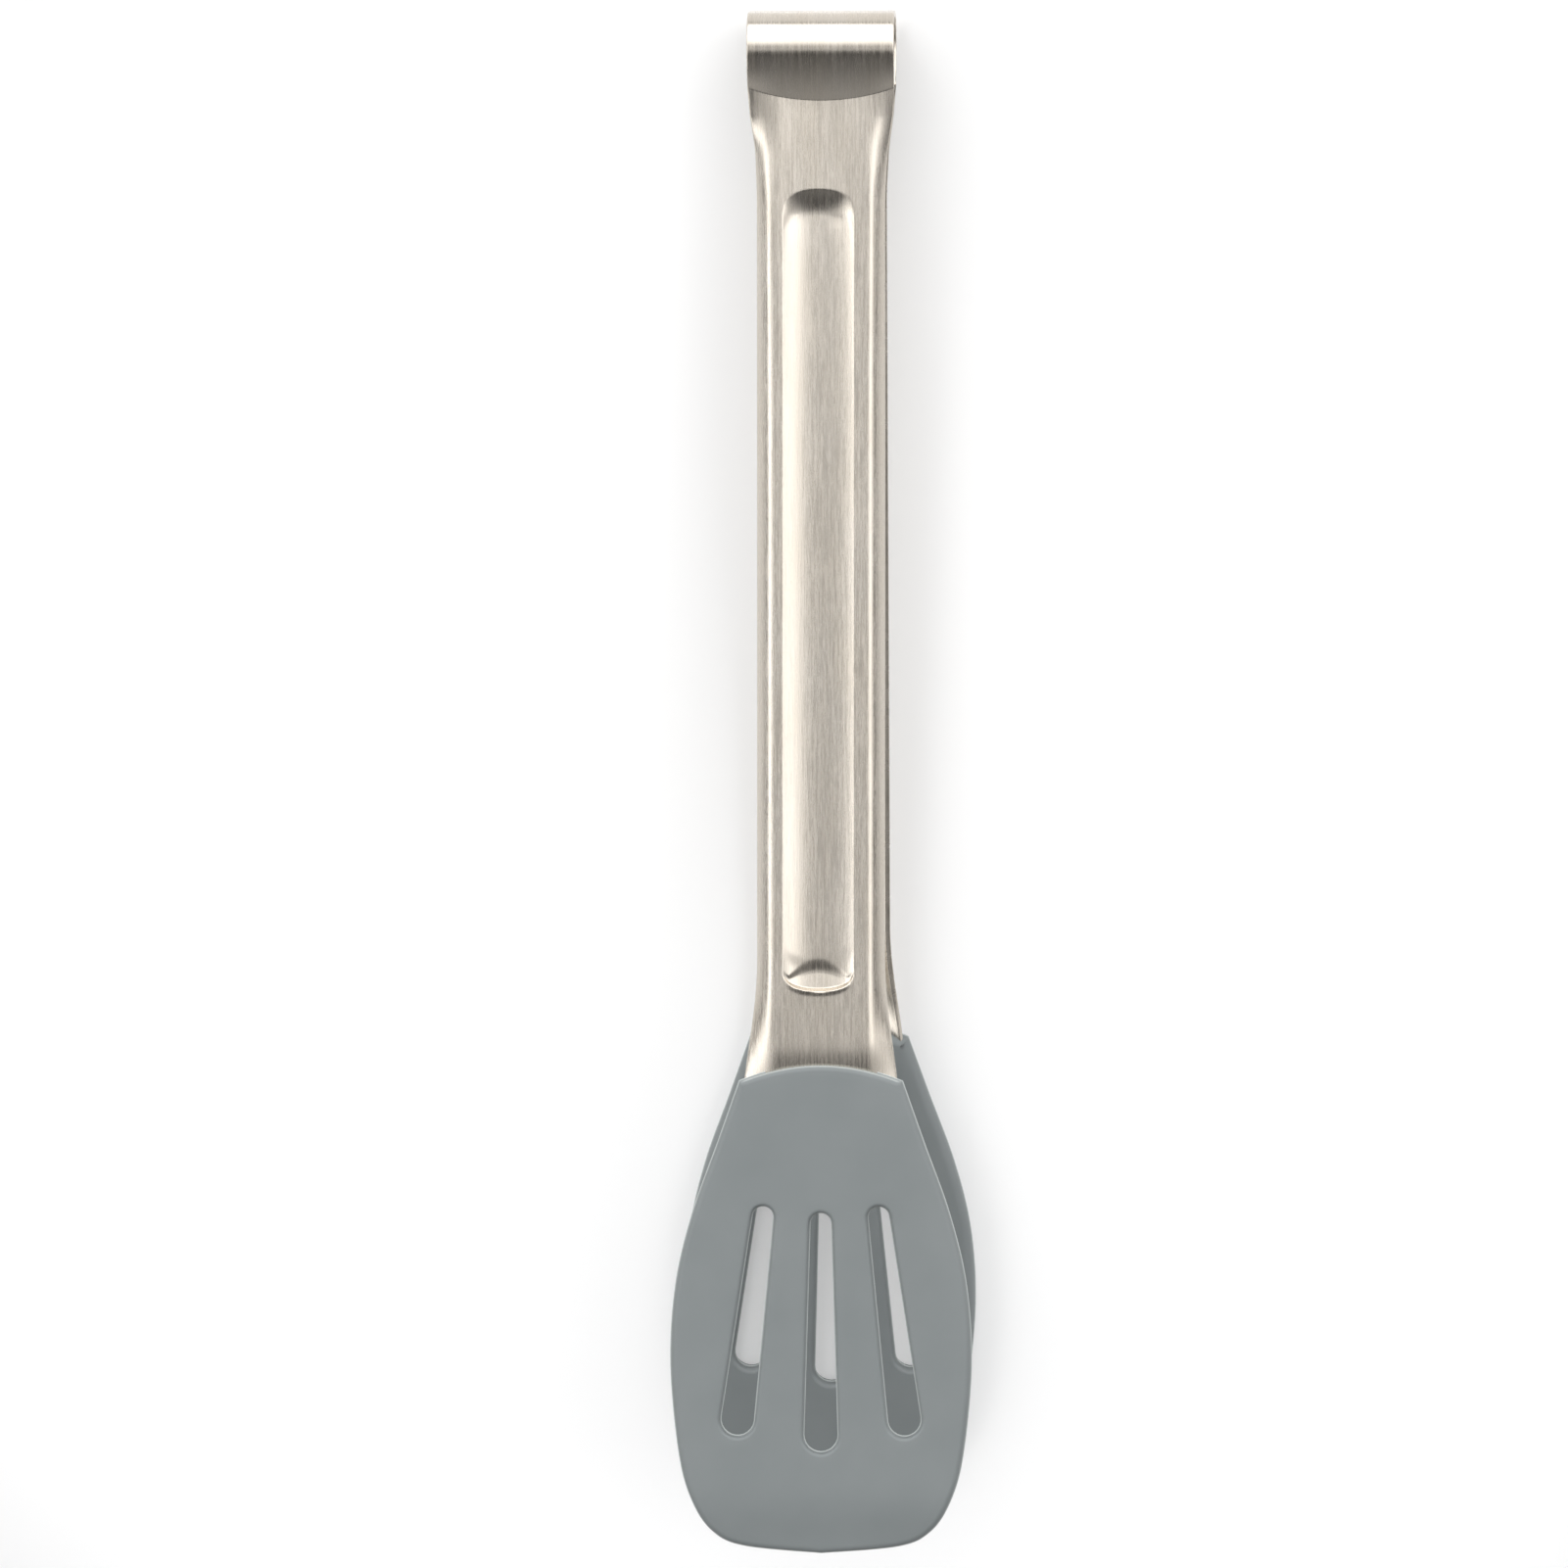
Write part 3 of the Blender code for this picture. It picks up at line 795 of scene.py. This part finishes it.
def make_floor():
    """A pale floor with painted light: a faint painted glow, and a painted pool of light that gets darker
    away from the tongs.
    """
    made, nodes, shader = new_material("floor_painted_light")
    place = nodes.add("ShaderNodeTexCoord").outputs["Object"]
    distance = nodes.add("ShaderNodeVectorMath", {0: place}, operation="LENGTH").outputs["Value"]
    stops = [(metres, grey(bright)) for metres, bright in (FLOOR_PAINTED_POOL, FLOOR_PAINTED_FALLOFF)]
    # Painted pool of light: brightness that falls off with distance from the tongs
    colour = nodes.ramp(distance, stops, "EASE")
    nodes.tree.links.new(colour, shader.inputs["Base Color"])
    # Painted glow: the same colour is also emitted
    nodes.tree.links.new(colour, shader.inputs["Emission Color"])
    shader.inputs["Emission Strength"].default_value = FLOOR_PAINTED_GLOW
    shader.inputs["Roughness"].default_value = 0.9
    shader.inputs["Specular IOR Level"].default_value = 0.1
    mesh = bpy.data.meshes.new("floor")
    size = FLOOR_HALF_SIZE
    corners = [(-size, -size, 0.0), (size, -size, 0.0), (size, size, 0.0), (-size, size, 0.0)]
    mesh.from_pydata(corners, [], [(0, 1, 2, 3)])
    mesh.materials.append(made)
    floor = bpy.data.objects.new("floor", mesh)
    bpy.context.scene.collection.objects.link(floor)


def make_world():
    """A studio of soft light: bright on the bow's side, dark past the zenith, a softbox on each side."""
    world = bpy.data.worlds.new("studio")
    world.use_nodes = True
    world.node_tree.nodes.clear()
    nodes = Nodes(world.node_tree)
    direction = nodes.add("ShaderNodeTexCoord").outputs["Generated"]
    parts = nodes.add("ShaderNodeSeparateXYZ", {"Vector": direction})
    x, y, z = parts.outputs
    upward = nodes.math("DIVIDE", nodes.math("ARCTAN2", z, y), math.pi, clamp=True)
    sideways = nodes.math("ADD", nodes.math("DIVIDE", nodes.math("ARCSINE", x), math.pi), 0.5)
    light = studio_ramp(nodes, upward, OVERHEAD)
    for shares, stops in SIDE_LIGHTS:
        share = nodes.ramp(sideways, [(0.5 + angle / 180.0, grey(part)) for angle, part in shares])
        light = nodes.blend(share, light, studio_ramp(nodes, upward, stops))
    background = nodes.add("ShaderNodeBackground", {"Strength": light})
    background.inputs["Color"].default_value = grey(1.0)
    nodes.add("ShaderNodeOutputWorld", {"Surface": background.outputs[0]})
    bpy.context.scene.world = world


def studio_ramp(nodes, share, stops):
    """Brightness over half a turn, from stops of (degrees, brightness)."""
    most = max(bright for _, bright in stops)
    ramp = nodes.ramp(share, [(angle / 180.0, grey(bright / most)) for angle, bright in stops])
    return nodes.math("MULTIPLY", ramp, most)


def make_fill():
    """A wide overhead light that lifts the floor and the silicone, and leaves no glint on the steel."""
    data = bpy.data.lights.new("fill", "AREA")
    data.shape = "SQUARE"
    data.size = FILL_SIZE
    data.energy = FILL_POWER
    fill = bpy.data.objects.new("fill", data)
    fill.location = FILL_PLACE
    fill.rotation_euler = Vector(FILL_PLACE).to_track_quat("Z", "Y").to_euler()
    fill.visible_glossy = False
    bpy.context.scene.collection.objects.link(fill)


def make_camera():
    data = bpy.data.cameras.new("camera")
    data.lens = CAMERA_LENS
    data.sensor_width = 36.0
    data.clip_start = 0.01
    camera = bpy.data.objects.new("camera", data)
    camera.location = CAMERA_PLACE
    camera.rotation_euler = [math.radians(a) for a in CAMERA_TURN]
    bpy.context.scene.collection.objects.link(camera)
    bpy.context.scene.camera = camera


def main():
    bpy.context.scene.view_settings.view_transform = "Standard"
    steel = steel_material()
    silicone = silicone_material()
    strip = make_strip(steel)
    nodes = [prefix + part for prefix in PREFIX.values() for part in ("_spring_bow", "_arm")]
    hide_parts(*nodes)
    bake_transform(strip)
    for side, prefix in PREFIX.items():
        head = make_head(side, silicone)
        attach(head, prefix + "_half")
        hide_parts(prefix + "_silicone_head")
        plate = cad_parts[prefix + "_head_plate"]
        plate.data.materials.clear()
        plate.data.materials.append(steel)
    make_floor()
    make_world()
    make_fill()
    make_camera()


main()
